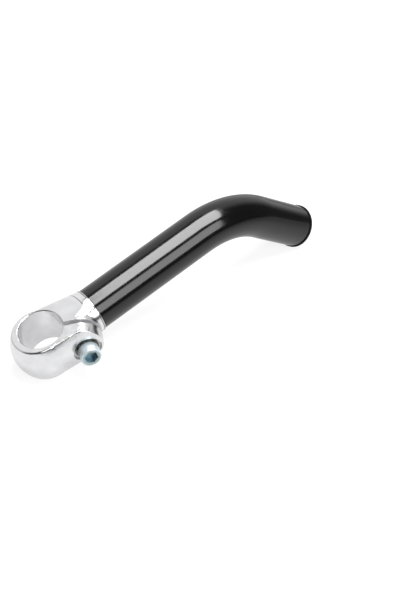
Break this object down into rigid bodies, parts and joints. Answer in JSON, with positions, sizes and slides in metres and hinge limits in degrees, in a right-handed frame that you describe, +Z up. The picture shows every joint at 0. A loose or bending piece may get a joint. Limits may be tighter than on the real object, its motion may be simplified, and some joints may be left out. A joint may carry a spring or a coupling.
{
  "type": "bicycle bar end",
  "caption": "Bicycle bar end: polished cast aluminium clamp with a pinch slit and M6 bolt, carrying a bent black tube closed by a push-in end plug.",
  "frame": {"origin": "centre of the clamp's bore, half way along it", "axes": "+Z up as the part lies on a table on the clamp's lower rim and the plug's rim; +X away from the clamp towards the end plug; the bolt's head is on the -Y side"},
  "size_m": [0.1828, 0.0402, 0.0486],
  "materials": {
    "cast_aluminium": "polished casting, rougher in the unmachined parts",
    "black_tube": "gloss black coating on steel tube",
    "plug_plastic": "moulded black, semi matt",
    "zinc_steel": "bright zinc plate, slightly blue",
    "washer_steel": "zinc plated, a little duller than the bolt"
  },
  "bodies": {
    "clamp": {"bar_clamp": "cast_aluminium", "grip_tube": "black_tube", "end_plug": "plug_plastic"},
    "washer": {"spring_washer": "washer_steel", "flat_washer": "washer_steel"},
    "bolt": {"clamp_bolt": "zinc_steel"}
  },
  "joints": [
    {"name": "bolt_travel", "type": "slide", "parent": "clamp", "child": "washer", "axis": [-0.2922, -0.9541, 0.0656], "range_m": [0, 0.008]},
    {"name": "bolt_turn", "type": "hinge", "parent": "washer", "child": "bolt", "pos_m": [0.01354, -0.01489, 0.00103], "axis": [-0.2922, -0.9541, 0.0656], "range_deg": [0, 2880]}
  ],
  "couplings": [
    {"joint": "bolt_turn", "follows": "bolt_travel", "rad_per_m": 6283.2}
  ]
}
